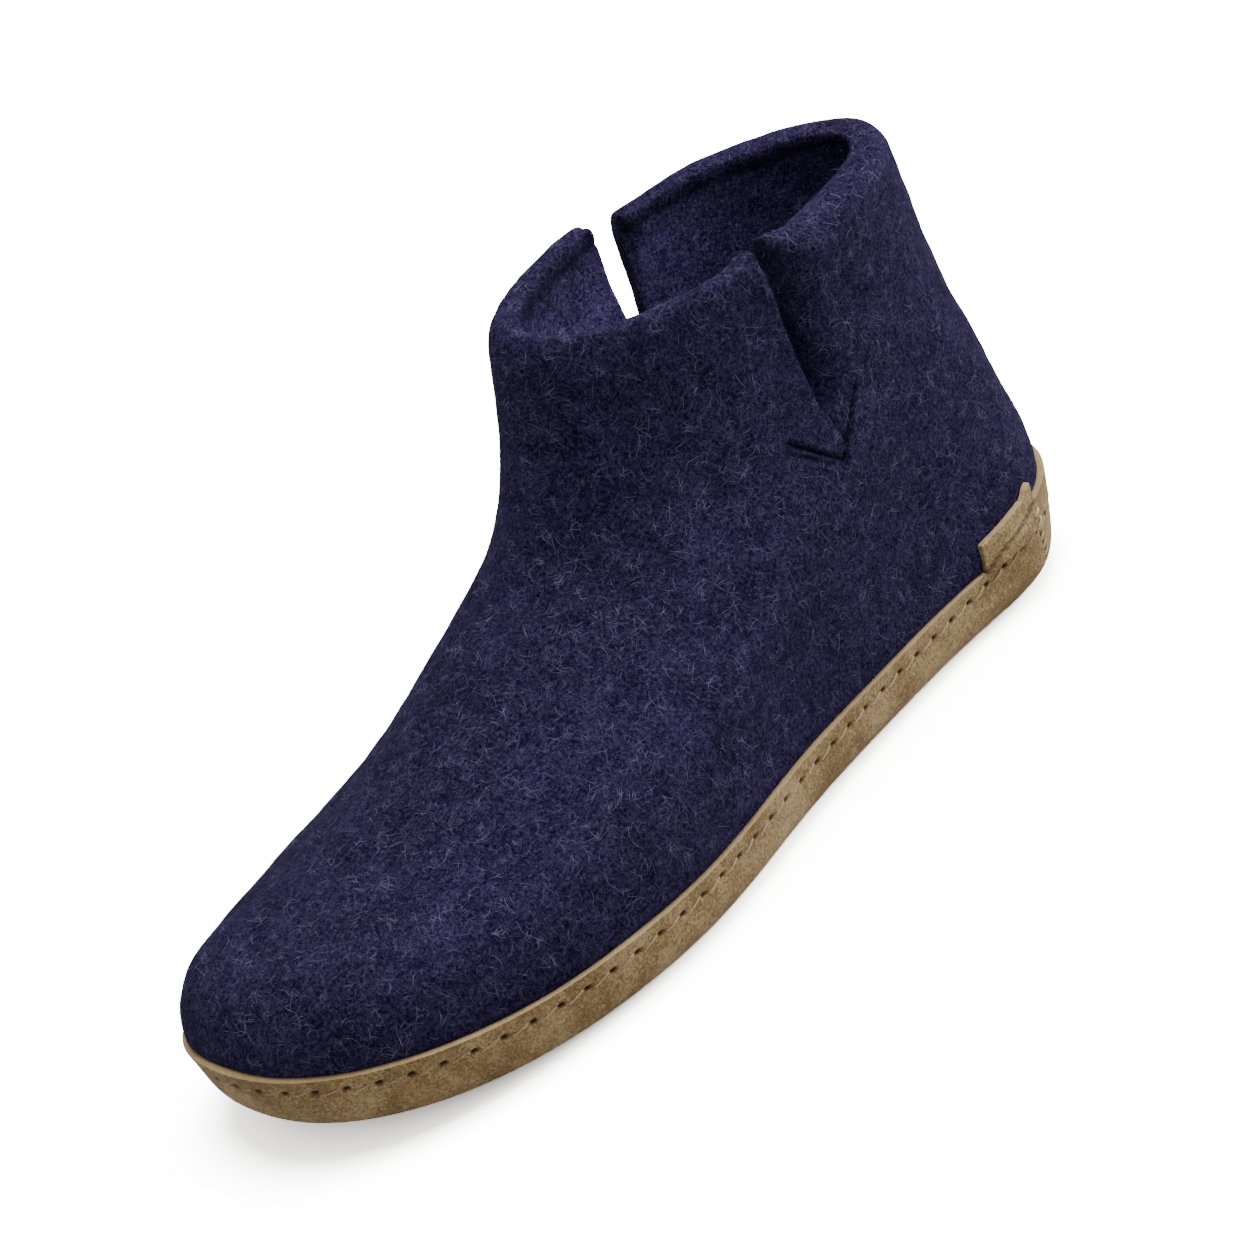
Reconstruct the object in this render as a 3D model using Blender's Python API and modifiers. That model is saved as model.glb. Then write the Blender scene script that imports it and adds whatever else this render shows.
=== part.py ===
"""Low felt boot for the left foot, in metres with +Z up.

The boot is wet-felted in one piece like a thick sock, and stands in a suede sole
that is turned up round the foot as a low band.  The toe points to -Y and the outer
side of the foot is +X.  The sole stands on z = 0, and the origin is under the
middle of the boot.

The skin of the foot is one function, skin(), of an angle round the boot and a
height.  The upper, the sole, the insole and the heel tab are all lofted from it.
"""
import math

import bmesh
import bpy
import numpy as np

MM = 0.001

# Lengths, widths and heights of the felt, measured outside
FELT_LENGTH = 280 * MM
BALL_WIDTH = 108 * MM
VAMP_HEIGHT = 80 * MM
RIM_HEIGHT = 127.5 * MM
RIM_RISE = 7 * MM           # the rim is this much higher in front than at the back
RIM_LEAN = 2.5 * MM           # and this much lower on the outer side
RIM_LENGTH = 124 * MM
RIM_WIDTH = 66 * MM

# Walls, gaps and edges
FELT_WALL = 5.5 * MM
LEATHER = 2.0 * MM
GAP = 0.3 * MM
RIM_ROUND = 1.7 * MM
LEATHER_ROUND = 0.4 * MM

# Sole
BAND_HEIGHT = 17 * MM
EDGE_TURN = 8.6 * MM        # radius of the sole's turned edge, outside
TOE_SPRING = 8 * MM
SPRING_START = 200 * MM     # from the heel; the sole is flat behind it
HEEL_SPRING = 2 * MM
HEEL_ROLL = 28 * MM         # the sole is flat in front of this
COUNTER_RISE = 5.8 * MM     # the band is this much higher round the back of the heel
COUNTER_LENGTH = 21 * MM    # from the heel; there the band steps down
COUNTER_STEP = 1.2 * MM     # length of the step
TOP_STRIP = 1 * MM          # lowest height of the strip under the band's top edge

# Slits in the collar
SLIT_AT = 73 * MM           # from the heel, on the outer side
INNER_SLIT_AHEAD = 2.5 * MM  # the inner slit is this much nearer the toe
SLIT_DEPTH = 49 * MM
SLIT_WIDTH = 9 * MM
FLAP_FLARE = 3.5 * MM       # the front flap stands out at the inner slit

# Insole
INSOLE = 4 * MM
INSOLE_CLEARANCE = 2.0 * MM

# Heel tab
TAB_FROM = 21.9 * MM        # its rear end, from the heel
TAB_TO = 44.6 * MM
TAB_HEIGHT = 7 * MM
TAB_REAR_HEIGHT = 10.1 * MM

# Sections of the foot: level is a share of VAMP_HEIGHT, back and front are shares of
# FELT_LENGTH from the heel, left and right are shares of BALL_WIDTH.  oval is 0 for
# the plan of a foot and 1 for a plain oval, and fullness squares the toe.
FOOT_SECTIONS = (
    # level, back, front, left, right, oval, fullness
    (0.125, 0.018, 0.988, 0.485, 0.440, 0.00, 2.3),
    (0.250, 0.006, 0.997, 0.498, 0.466, 0.00, 2.3),
    (0.350, 0.003, 0.988, 0.498, 0.454, 0.02, 2.3),
    (0.450, 0.003, 0.955, 0.482, 0.426, 0.07, 2.2),
    (0.525, 0.007, 0.895, 0.458, 0.401, 0.13, 2.1),
    (0.600, 0.011, 0.820, 0.429, 0.378, 0.22, 2.0),
    (0.700, 0.014, 0.738, 0.388, 0.356, 0.40, 2.0),
    (0.825, 0.018, 0.659, 0.345, 0.338, 0.65, 2.0),
    (1.000, 0.026, 0.563, 0.290, 0.322, 0.90, 2.0),
)
# Sections of the shaft: level is a share of the way from VAMP_HEIGHT to RIM_HEIGHT,
# back and front are shares of RIM_LENGTH from the heel, left and right of RIM_WIDTH.
SHAFT_SECTIONS = (
    # level, back, front, left, right, oval, fullness
    (0.45, 0.069, 1.160, 0.440, 0.485, 1.00, 2.0),
    (1.00, 0.076, 1.068, 0.468, 0.495, 1.00, 2.0),
    (1.15, 0.077, 1.045, 0.475, 0.495, 1.00, 2.0),
)
# Plan of the foot: where the heel, waist and ball lie as shares of its length, and the
# breadth of heel and waist on each side as shares of the ball's
HEEL_SHARE, WAIST_SHARE, BALL_SHARE = 0.125, 0.40, 0.66
HEEL_BREADTH = {"left": 0.52, "right": 0.70}
WAIST_BREADTH = {"left": 0.70, "right": 0.70}

# Fineness of the loft
COLUMNS = 28                # from heel to toe, on each side
SLIT_COLUMN = 14
RINGS_BELOW_SLIT = 14
RINGS_ABOVE_SLIT = 5
TURN_STEPS = 4
TAB_COLUMNS = 8
TAB_ROWS = 3
EDGE_SEGMENTS = 2
SHARP_ANGLE = math.radians(55)  # edges sharper than this are rounded
SAMPLES = 200               # points at which a profile is measured
NUDGE = 0.01                # radians, either side of a point, to find the skin's direction
TINY = 1e-6


def section_rows():
    """Both tables as rows of real sizes, from the floor up."""
    rows = []
    for level, back, front, left, right, oval, fullness in FOOT_SECTIONS:
        rows.append((level * VAMP_HEIGHT, back * FELT_LENGTH, front * FELT_LENGTH,
                     left * BALL_WIDTH, right * BALL_WIDTH, oval, fullness))
    for level, back, front, left, right, oval, fullness in SHAFT_SECTIONS:
        height = VAMP_HEIGHT + level * (RIM_HEIGHT - VAMP_HEIGHT)
        rows.append((height, back * RIM_LENGTH, front * RIM_LENGTH,
                     left * RIM_WIDTH, right * RIM_WIDTH, oval, fullness))
    names = ("height", "back", "front", "left", "right", "oval", "fullness")
    return dict(zip(names, np.array(rows).T))


SECTIONS = section_rows()


def hermite(share, step, start, end, slope_start, slope_end):
    """A cubic from start to end over one step, with the slopes at its ends."""
    past = 1.0 - share
    return ((1.0 + 2.0 * share) * past**2 * start + share**2 * (3.0 - 2.0 * share) * end
            + share * past**2 * step * slope_start - share**2 * past * step * slope_end)


def section(name, height):
    """One column of the tables at any height, as a cubic that never overshoots."""
    heights = SECTIONS["height"]
    values = SECTIONS[name]
    steps = np.diff(heights)
    rises = np.diff(values) / steps
    slopes = np.concatenate((rises[:1], np.zeros(len(steps) - 1), rises[-1:]))
    for i in range(1, len(steps)):
        if rises[i - 1] * rises[i] > 0.0:
            before = 2.0 * steps[i] + steps[i - 1]
            after = steps[i] + 2.0 * steps[i - 1]
            slopes[i] = (before + after) / (before / rises[i - 1] + after / rises[i])
    height = np.clip(height, heights[0], heights[-1])
    i = np.clip(np.searchsorted(heights, height) - 1, 0, len(steps) - 1)
    share = (height - heights[i]) / steps[i]
    return hermite(share, steps[i], values[i], values[i + 1], slopes[i], slopes[i + 1])


def half_breadth(side, along, height):
    """From the centre line to the skin, at a distance along the foot from the heel."""
    back = section("back", height)
    front = section("front", height)
    ball = section(side, height)
    heel = HEEL_BREADTH[side] * ball
    waist = WAIST_BREADTH[side] * ball
    share = np.clip((along - back) / (front - back), 0.0, 1.0)
    rise_heel = (waist - heel) / (WAIST_SHARE - HEEL_SHARE)
    rise_ball = (ball - waist) / (BALL_SHARE - WAIST_SHARE)
    bend = np.where(rise_heel * rise_ball > 0.0,
                    2.0 * rise_heel * rise_ball / (np.abs(rise_heel + rise_ball) + TINY), 0.0)
    heel_share = np.clip(1.0 - share / HEEL_SHARE, 0.0, 1.0)
    waist_share = np.clip((share - HEEL_SHARE) / (WAIST_SHARE - HEEL_SHARE), 0.0, 1.0)
    ball_share = np.clip((share - WAIST_SHARE) / (BALL_SHARE - WAIST_SHARE), 0.0, 1.0)
    toe_share = np.clip((share - BALL_SHARE) / (1.0 - BALL_SHARE), 0.0, 1.0)
    fullness = section("fullness", height)
    foot = np.select(
        [share < HEEL_SHARE, share < WAIST_SHARE, share < BALL_SHARE],
        [heel * np.sqrt(1.0 - heel_share**2),
         hermite(waist_share, WAIST_SHARE - HEEL_SHARE, heel, waist, 0.0, bend),
         hermite(ball_share, BALL_SHARE - WAIST_SHARE, waist, ball, bend, 0.0)],
        ball * (1.0 - toe_share**fullness) ** (1.0 / fullness))
    oval = ball * np.sqrt(np.clip(1.0 - (2.0 * share - 1.0) ** 2, 0.0, 1.0))
    blend = section("oval", height)
    return foot + (oval - foot) * blend


def lift(along):
    """Height of the sole above the floor: flat under heel and ball, sprung at the toe."""
    toe = np.clip((along - SPRING_START) / (FELT_LENGTH - SPRING_START), 0.0, None)
    heel = np.clip((HEEL_ROLL - along) / HEEL_ROLL, 0.0, None)
    return TOE_SPRING * toe**2 + HEEL_SPRING * heel**2


def skin(angles, back_height, front_height, out=0.0):
    """Points of the skin on a ring that climbs from back_height to front_height.

    An angle of 0 is the middle of the heel, pi is the tip of the toe, and the outer
    side of the foot lies between them.  out moves the points off the felt in plan.
    """
    def bare(angles):
        back = section("back", back_height)
        front = section("front", front_height)
        share = (1.0 - np.cos(angles)) / 2.0
        along = back + (front - back) * share
        height = back_height + (front_height - back_height) * share
        across = np.where(np.sin(angles) >= 0.0,
                          half_breadth("left", along, height),
                          -half_breadth("right", along, height))
        return along, across, height

    along, across, height = bare(angles)
    if out != 0.0:
        along_after, across_after, _ = bare(angles + NUDGE)
        along_before, across_before, _ = bare(angles - NUDGE)
        run = along_after - along_before
        rise = across_after - across_before
        length = np.hypot(run, rise)
        along = along - out * rise / length
        across = across + out * run / length
    return np.stack([across, FELT_LENGTH / 2.0 - along, height + lift(along)], axis=-1)


def angle_at(along, back_height, front_height):
    """The angle at which a ring passes a distance along the foot."""
    back = section("back", back_height)
    front = section("front", front_height)
    share = np.clip((along - back) / (front - back), 0.0, 1.0)
    return np.arccos(1.0 - 2.0 * share)


def even_angles():
    return np.linspace(0.0, 2.0 * math.pi, 2 * COLUMNS, endpoint=False)


def sole_angles():
    """Even angles, and two more on each side where the heel counter steps down."""
    step = [angle_at(COUNTER_LENGTH + share * COUNTER_STEP, BAND_HEIGHT, BAND_HEIGHT)
            for share in (-0.5, 0.5)]
    half = np.sort(np.concatenate((np.linspace(0.0, math.pi, COLUMNS + 1), step)))
    return np.concatenate((half, 2.0 * math.pi - half[-2:0:-1]))


def turned_edge(angles, offset):
    """Rings of the sole's rounded edge, for a shell that lies offset off the felt."""
    felt_turn = EDGE_TURN - LEATHER - GAP
    radius = felt_turn + offset
    rings = []
    for i in range(TURN_STEPS + 1):
        turn = 0.5 * math.pi * i / TURN_STEPS
        height = EDGE_TURN - radius * math.cos(turn)
        rings.append(skin(angles, height, height, radius * math.sin(turn) - felt_turn))
    return rings


def climb(name, top):
    """Heights up the back or front profile, against the share of its length."""
    heights = np.linspace(BAND_HEIGHT, top, SAMPLES)
    run = np.hypot(np.diff(heights), np.diff(section(name, heights)))
    length = np.concatenate(([0.0], np.cumsum(run)))
    return length / length[-1], heights


def split_angles(angles, cut, before, after):
    """Angles from heel to toe, stretched so that the slit's column lies on its two edges."""
    behind = angles * before / cut
    ahead = math.pi - (math.pi - angles) * (math.pi - after) / (math.pi - cut)
    return np.where(angles <= cut, behind, ahead), np.where(angles < cut, behind, ahead)


def upper_rings():
    """Rings of the upper above the band, each as the points before and after its slits."""
    back_shares, back_heights = climb("back", RIM_HEIGHT - RIM_RISE / 2.0)
    front_shares, front_heights = climb("front", RIM_HEIGHT + RIM_RISE / 2.0)

    def ends(share):
        return (np.interp(share, back_shares, back_heights),
                np.interp(share, front_shares, front_heights))

    def slit_turn(side, share, beyond=0.0):
        along = SLIT_AT + beyond + (INNER_SLIT_AHEAD if side == "right" else 0.0)
        return angle_at(along, *ends(share))

    shares = np.linspace(0.0, 1.0, SAMPLES)
    heights = []
    for share in shares:
        back_height, front_height = ends(share)
        way = (1.0 - math.cos(slit_turn("left", share))) / 2.0
        heights.append(back_height + (front_height - back_height) * way)
    slit_foot = float(np.interp(heights[-1] - SLIT_DEPTH, heights, shares))
    below = np.linspace(0.0, slit_foot, RINGS_BELOW_SLIT + 1)
    above = np.linspace(slit_foot, 1.0, RINGS_ABOVE_SLIT + 1)

    angles = np.linspace(0.0, math.pi, COLUMNS + 1)
    cut = angles[SLIT_COLUMN]
    rings = []
    for share in np.concatenate((below, above[1:])):
        opening = max(0.0, (share - slit_foot) / (1.0 - slit_foot))
        pull = min(1.0, share / slit_foot) ** 2
        edges = {}
        for side in ("left", "right"):
            middle = slit_turn(side, share)
            reach = slit_turn(side, share, SLIT_WIDTH / 2.0 * opening) - middle
            middle = cut + pull * (middle - cut)
            edges[side] = split_angles(angles, cut, middle - reach, middle + reach)
        # round the ring: outer side from heel to toe, then inner side back to the heel,
        # where the slit's front edge comes first
        first = np.concatenate((edges["left"][0], 2.0 * math.pi - edges["right"][1][-2:0:-1]))
        second = np.concatenate((edges["left"][1], 2.0 * math.pi - edges["right"][0][-2:0:-1]))
        inner_edge = 2.0 * math.pi - edges["right"][1][SLIT_COLUMN]
        pair = []
        for turn in (first, second):
            points = skin(turn, *ends(share))
            points[:, 2] -= RIM_LEAN * opening * np.sin(turn)
            past_toe = np.clip((turn - math.pi) / (inner_edge - math.pi), 0.0, None)
            flare = np.where(past_toe <= 1.0 + TINY, past_toe**2, 0.0)
            points[:, 0] -= FLAP_FLARE * opening * flare
            pair.append(points)
        rings.append(pair)
    return rings


def loft(bm, rings):
    """Faces between rings, each a pair of points before and after its slits."""
    rows = []
    for before, after in rings:
        row = []
        for first, second in zip(before, after):
            vertex = bm.verts.new(first)
            same = np.linalg.norm(first - second) < TINY
            row.append((vertex, vertex if same else bm.verts.new(second)))
        rows.append(row)
    count = len(rows[0])
    for lower, upper in zip(rows, rows[1:]):
        for i in range(count):
            j = (i + 1) % count
            corners = (lower[j][0], lower[i][1], upper[i][1], upper[j][0])
            bm.faces.new(corners)
    return rows


def close_bottom(bm, row):
    """Strips across the foot that close the lowest ring."""
    ring = [pair[0] for pair in row]
    count = len(ring)
    for i in range(count // 2):
        corners = [ring[i], ring[i + 1], ring[-i - 1], ring[-i % count]]
        bm.faces.new([c for k, c in enumerate(corners) if c not in corners[:k]])


def material(name, colour, roughness):
    made = bpy.data.materials.new(name)
    made.use_nodes = True
    shader = made.node_tree.nodes["Principled BSDF"]
    shader.inputs["Base Color"].default_value = (*colour, 1.0)
    shader.inputs["Roughness"].default_value = roughness
    shader.inputs["Metallic"].default_value = 0.0
    made.diffuse_color = (*colour, 1.0)
    return made


def add_piece(name, bm, thickness, edge_round, finish, collection):
    """An open skin that faces out becomes a wall of this thickness inside it."""
    mesh = bpy.data.meshes.new(name)
    bm.to_mesh(mesh)
    bm.free()
    mesh.shade_smooth()
    mesh.materials.append(finish)
    piece = bpy.data.objects.new(name, mesh)
    collection.objects.link(piece)
    wall = piece.modifiers.new("wall", "SOLIDIFY")
    wall.thickness = thickness
    wall.offset = -1.0
    wall.use_even_offset = True
    if edge_round:
        edge = piece.modifiers.new("edge", "BEVEL")
        edge.width = edge_round
        edge.segments = EDGE_SEGMENTS
        edge.limit_method = "ANGLE"
        edge.angle_limit = SHARP_ANGLE
    return piece


def felt_upper(finish, collection):
    bm = bmesh.new()
    rings = [(ring, ring) for ring in turned_edge(even_angles(), 0.0)] + upper_rings()
    rows = loft(bm, rings)
    close_bottom(bm, rows[0])
    return add_piece("felt_upper", bm, FELT_WALL, RIM_ROUND, finish, collection)


def leather_sole(finish, collection):
    bm = bmesh.new()
    out = GAP + LEATHER
    angles = sole_angles()
    rings = turned_edge(angles, out)
    along = FELT_LENGTH / 2.0 - skin(angles, BAND_HEIGHT, BAND_HEIGHT)[:, 1]
    counter = np.where(along < COUNTER_LENGTH, 1.0, 0.0)
    for height in (BAND_HEIGHT - TOP_STRIP * (1.0 - counter),
                   BAND_HEIGHT + COUNTER_RISE * counter):
        rings.append(skin(angles, height, height, out))
    rows = loft(bm, [(ring, ring) for ring in rings])
    close_bottom(bm, rows[0])
    return add_piece("leather_sole", bm, LEATHER, LEATHER_ROUND, finish, collection)


def felt_insole(finish, collection):
    bm = bmesh.new()
    height = LEATHER + GAP + FELT_WALL + GAP
    ring = skin(even_angles(), height, height, -(FELT_WALL + INSOLE_CLEARANCE))
    row = [(vertex, vertex) for vertex in map(bm.verts.new, ring)]
    close_bottom(bm, row)
    return add_piece("felt_insole", bm, INSOLE, 0.0, finish, collection)


def heel_tab(finish, collection):
    bm = bmesh.new()
    foot = BAND_HEIGHT + GAP
    ends = (angle_at(TAB_FROM, foot, foot), angle_at(TAB_TO, foot, foot))
    angles = np.linspace(*ends, TAB_COLUMNS + 1)
    tops = np.linspace(TAB_REAR_HEIGHT, TAB_HEIGHT, TAB_COLUMNS + 1)
    rows = []
    for share in np.linspace(0.0, 1.0, TAB_ROWS):
        points = [skin(np.array([turn]), foot + share * top, foot + share * top, GAP + LEATHER)[0]
                  for turn, top in zip(angles, tops)]
        rows.append([bm.verts.new(point) for point in points])
    for lower, upper in zip(rows, rows[1:]):
        for i in range(TAB_COLUMNS):
            bm.faces.new((lower[i + 1], lower[i], upper[i], upper[i + 1]))
    return add_piece("heel_tab", bm, LEATHER, 0.0, finish, collection)


def centre_on_origin(pieces):
    """Moves the pieces so that the box round them stands over the origin."""
    bpy.context.view_layer.update()
    graph = bpy.context.evaluated_depsgraph_get()
    corners = []
    for piece in pieces:
        solid = piece.evaluated_get(graph)
        corners += [solid.matrix_world @ vertex.co for vertex in solid.data.vertices]
    corners = np.array(corners)
    middle = (corners.min(axis=0) + corners.max(axis=0)) / 2.0
    for piece in pieces:
        piece.location = (-middle[0], -middle[1], 0.0)
    print("box", corners.max(axis=0) - corners.min(axis=0), "moved", -middle[:2])


def main():
    for old in list(bpy.data.objects):
        bpy.data.objects.remove(old)
    boot = bpy.data.collections.new("felt_boot")
    bpy.context.scene.collection.children.link(boot)
    felt = material("felt", (0.0194, 0.0160, 0.0437), 0.95)
    footbed = material("footbed_felt", (0.016, 0.014, 0.033), 0.97)
    suede = material("suede", (0.227, 0.153, 0.078), 0.85)
    tab_suede = material("tab_suede", (0.240, 0.165, 0.088), 0.85)
    pieces = [
        felt_upper(felt, boot),
        leather_sole(suede, boot),
        felt_insole(footbed, boot),
        heel_tab(tab_suede, boot),
    ]
    centre_on_origin(pieces)


main()
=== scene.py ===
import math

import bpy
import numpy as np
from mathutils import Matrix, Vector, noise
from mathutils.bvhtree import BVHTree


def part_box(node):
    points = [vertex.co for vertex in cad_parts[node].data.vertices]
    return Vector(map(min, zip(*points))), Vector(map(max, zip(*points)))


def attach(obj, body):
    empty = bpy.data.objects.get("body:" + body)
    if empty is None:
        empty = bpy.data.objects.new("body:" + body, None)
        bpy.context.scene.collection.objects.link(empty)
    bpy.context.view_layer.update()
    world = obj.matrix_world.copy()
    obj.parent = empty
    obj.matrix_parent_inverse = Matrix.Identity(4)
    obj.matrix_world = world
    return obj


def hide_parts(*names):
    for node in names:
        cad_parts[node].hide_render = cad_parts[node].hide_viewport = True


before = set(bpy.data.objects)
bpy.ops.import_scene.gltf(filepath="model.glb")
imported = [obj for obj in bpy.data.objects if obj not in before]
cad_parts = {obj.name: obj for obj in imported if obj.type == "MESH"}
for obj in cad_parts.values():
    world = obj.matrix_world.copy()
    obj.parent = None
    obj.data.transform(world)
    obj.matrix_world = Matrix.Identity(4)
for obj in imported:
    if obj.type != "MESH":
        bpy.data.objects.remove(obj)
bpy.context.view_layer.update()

# %% [markdown]
# # A low felt boot, dressed
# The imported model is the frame: four solids of the right size and shape. This lesson dresses
# them. The felt gets its lumps, its stitched slits and its loose hairs, and the sole its suede,
# its running stitch and the seam at the heel. Lengths are in metres, mostly written as so many
# times MM, and the short tables of places hold mm. The boot stands on z = 0 with its toe to -Y
# and its outer side to +X.

MM = 0.001
HEEL_INSET = 0.84 * MM      # the felt's back, from the line where distances along begin
HALF_WIDTH = 53.76 * MM     # the felt's outer side, from the middle line of the foot
upper_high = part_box("felt_upper")[1]
HEEL_Y = upper_high.y + HEEL_INSET
SIDE_X = upper_high.x - HALF_WIDTH


def add_object(name, data):
    """Puts an object that shows this data into the scene."""
    made = bpy.data.objects.new(name, data)
    bpy.context.scene.collection.objects.link(made)
    return made


# %% [markdown]
# ## The camera
# The boot was photographed from its outer side, a little ahead of it and above it, and the
# picture was then turned so that the boot seems to step down. A real camera does that by
# rolling about its own line of sight, so the camera here is placed by two angles and a roll.

# %% Camera
AZIMUTH, ELEVATION, ROLL = math.radians(57.5), math.radians(26.3), math.radians(-22.3)
LENS, SENSOR = 125.0, 36                            # mm, as on a real camera
DISTANCE = 1.05346
MIDDLE_ALONG, MIDDLE_HEIGHT = 140 * MM, 60 * MM     # the middle of the boot
AIM_RIGHT, AIM_DOWN = 8.8 * MM, 2.75 * MM           # where the camera looks, from there
back = Vector((math.sin(AZIMUTH) * math.cos(ELEVATION),
               -math.cos(AZIMUTH) * math.cos(ELEVATION), math.sin(ELEVATION)))
level = Vector((0, 0, 1)).cross(back).normalized()
upright = back.cross(level)
across = math.cos(ROLL) * level + math.sin(ROLL) * upright
upward = -math.sin(ROLL) * level + math.cos(ROLL) * upright
middle = Vector((SIDE_X, HEEL_Y - MIDDLE_ALONG, MIDDLE_HEIGHT))
aim = middle + AIM_RIGHT * across - AIM_DOWN * upward
camera_data = bpy.data.cameras.new("camera")
camera_data.sensor_width = SENSOR
camera_data.lens = LENS
camera = add_object("camera", camera_data)
turn = Matrix((across, upward, back)).transposed().to_4x4()
camera.matrix_world = Matrix.Translation(aim + DISTANCE * back) @ turn
bpy.context.scene.camera = camera
print("camera at", [round(v, 3) for v in camera.location])

# %% [markdown]
# ## Floor and lights
# The photograph is a plain studio picture on white. The light is broad and comes from above and
# from behind the heel: the top of the toe and the back of the heel are the lightest felt, and
# the side of the toe the darkest. Three area lamps do that, with a pale sky to fill the shade.
# The floor throws back the light of plain paper, but to the camera itself it looks whiter, as
# paper does in a photograph that is exposed for a dark boot.

# %% Floor and lights


def select_none():
    """Operators act on what is selected, so every step starts from nothing."""
    if bpy.context.object and bpy.context.object.mode != "OBJECT":
        bpy.ops.object.mode_set(mode="OBJECT")
    bpy.ops.object.select_all(action="DESELECT")


def make_active(piece):
    select_none()
    piece.select_set(True)
    bpy.context.view_layer.objects.active = piece


def new_material(name):
    """A material with its nodes, its tree and its main shader."""
    made = bpy.data.materials.new(name)
    made.use_nodes = True
    return made, made.node_tree, made.node_tree.nodes["Principled BSDF"]


def lamp(name, place, aimed_at, size, power):
    data = bpy.data.lights.new(name, "AREA")
    data.shape = "DISK"
    data.size = size
    data.energy = power
    made = add_object(name, data)
    made.location = place
    made.rotation_euler = (Vector(aimed_at) - Vector(place)).to_track_quat("-Z", "Y").to_euler()


FLOOR_SIZE = 14
PAPER, SEEN_PAPER = 0.5, 7      # what the paper throws back, and how bright it is shown
SKY = 0.56
select_none()
bpy.ops.mesh.primitive_plane_add(size=FLOOR_SIZE, location=(0, 0, 0))
floor = bpy.context.object
floor.name = "floor"
paper, paper_tree, paper_shader = new_material("paper_floor")
paper_shader.inputs["Base Color"].default_value = (PAPER, PAPER, PAPER, 1)
paper_shader.inputs["Roughness"].default_value = 0.9
paper_shader.inputs["Specular IOR Level"].default_value = 0.1
white = paper_tree.nodes.new("ShaderNodeBsdfDiffuse")
white.inputs["Color"].default_value = (SEEN_PAPER, SEEN_PAPER, SEEN_PAPER, 1)
ray = paper_tree.nodes.new("ShaderNodeLightPath")
seen_white = paper_tree.nodes.new("ShaderNodeMixShader")
paper_tree.links.new(ray.outputs["Is Camera Ray"], seen_white.inputs[0])
paper_tree.links.new(paper_shader.outputs[0], seen_white.inputs[1])
paper_tree.links.new(white.outputs[0], seen_white.inputs[2])
paper_tree.links.new(seen_white.outputs[0], paper_tree.nodes["Material Output"].inputs["Surface"])
floor.data.materials.append(paper)

lamp("overhead", (0.0, 0.3, 1.8), (0, 0, 0.05), 1.4, 68)
lamp("heel_side", (0.6, 1.6, 0.8), (0, 0.1, 0.06), 1.0, 40)
lamp("fill", (1.2, -1.2, 0.9), (0, 0, 0.06), 1.4, 2)
sky = bpy.data.worlds.new("studio")
sky.use_nodes = True
sky.node_tree.nodes["Background"].inputs["Color"].default_value = (1, 1, 1, 1)
sky.node_tree.nodes["Background"].inputs["Strength"].default_value = SKY
bpy.context.scene.world = sky

# %% [markdown]
# ## Effects shared by the materials
# Felt is a mat of short curled wool fibres. Their edges catch the light as fine curly lines over
# a dark ground, which a line drawn where a warped noise crosses its middle value gives. Two
# or three such layers of different sizes make the mat. Brushed suede has the same kind of curl,
# coarser and softer. Each effect is a node group, built once and placed in each material with
# its own colours.

# %% Node helpers


def colour(red, green, blue):
    """The shader's linear colour from the 0 to 255 values of a colour picker."""
    shares = [value / 255 for value in (red, green, blue)]
    return [s / 12.92 if s <= 0.04045 else ((s + 0.055) / 1.055) ** 2.4 for s in shares] + [1.0]


def new_group(name, inputs, outputs):
    """An empty node group; inputs are (name, kind, value) and outputs (name, kind)."""
    group = bpy.data.node_groups.new(name, "ShaderNodeTree")
    for label, kind, value in inputs:
        socket = group.interface.new_socket(label, in_out="INPUT", socket_type="NodeSocket" + kind)
        if value is not None:
            socket.default_value = value
    for label, kind in outputs:
        group.interface.new_socket(label, in_out="OUTPUT", socket_type="NodeSocket" + kind)
    return group, group.nodes.new("NodeGroupInput"), group.nodes.new("NodeGroupOutput")


def put(tree, socket, value):
    """Links a socket, or sets it where the value is a plain number or colour."""
    if isinstance(value, bpy.types.NodeSocket):
        tree.links.new(value, socket)
    else:
        socket.default_value = value


def maths(tree, operation, first, second=0.0, third=None, clamp=False):
    node = tree.nodes.new("ShaderNodeMath")
    node.operation = operation
    node.use_clamp = clamp
    put(tree, node.inputs[0], first)
    put(tree, node.inputs[1], second)
    if third is not None:
        put(tree, node.inputs[2], third)
    return node.outputs[0]


def blend_colours(tree, share, first, second):
    node = tree.nodes.new("ShaderNodeMix")
    node.data_type = "RGBA"
    put(tree, node.inputs[0], share)
    put(tree, node.inputs[6], first)
    put(tree, node.inputs[7], second)
    return node.outputs[2]


def spread(tree, value, low, high, to_low=0.0, to_high=1.0):
    """Stretches a value from one range to another, and stops at its ends."""
    node = tree.nodes.new("ShaderNodeMapRange")
    put(tree, node.inputs["Value"], value)
    node.inputs["From Min"].default_value = low
    node.inputs["From Max"].default_value = high
    node.inputs["To Min"].default_value = to_low
    node.inputs["To Max"].default_value = to_high
    return node.outputs["Result"]


def noise_at(tree, place, scale, detail=2.0, warp=0.0, rough=0.5):
    node = tree.nodes.new("ShaderNodeTexNoise")
    put(tree, node.inputs["Vector"], place)
    put(tree, node.inputs["Scale"], scale)
    node.inputs["Detail"].default_value = detail
    node.inputs["Distortion"].default_value = warp
    node.inputs["Roughness"].default_value = rough
    return node.outputs["Fac"]


def moved(tree, place, offset, scale=(1, 1, 1), turned=(0, 0, 0)):
    node = tree.nodes.new("ShaderNodeMapping")
    put(tree, node.inputs["Vector"], place)
    node.inputs["Location"].default_value = offset
    node.inputs["Rotation"].default_value = turned
    node.inputs["Scale"].default_value = scale
    return node.outputs["Vector"]


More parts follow.
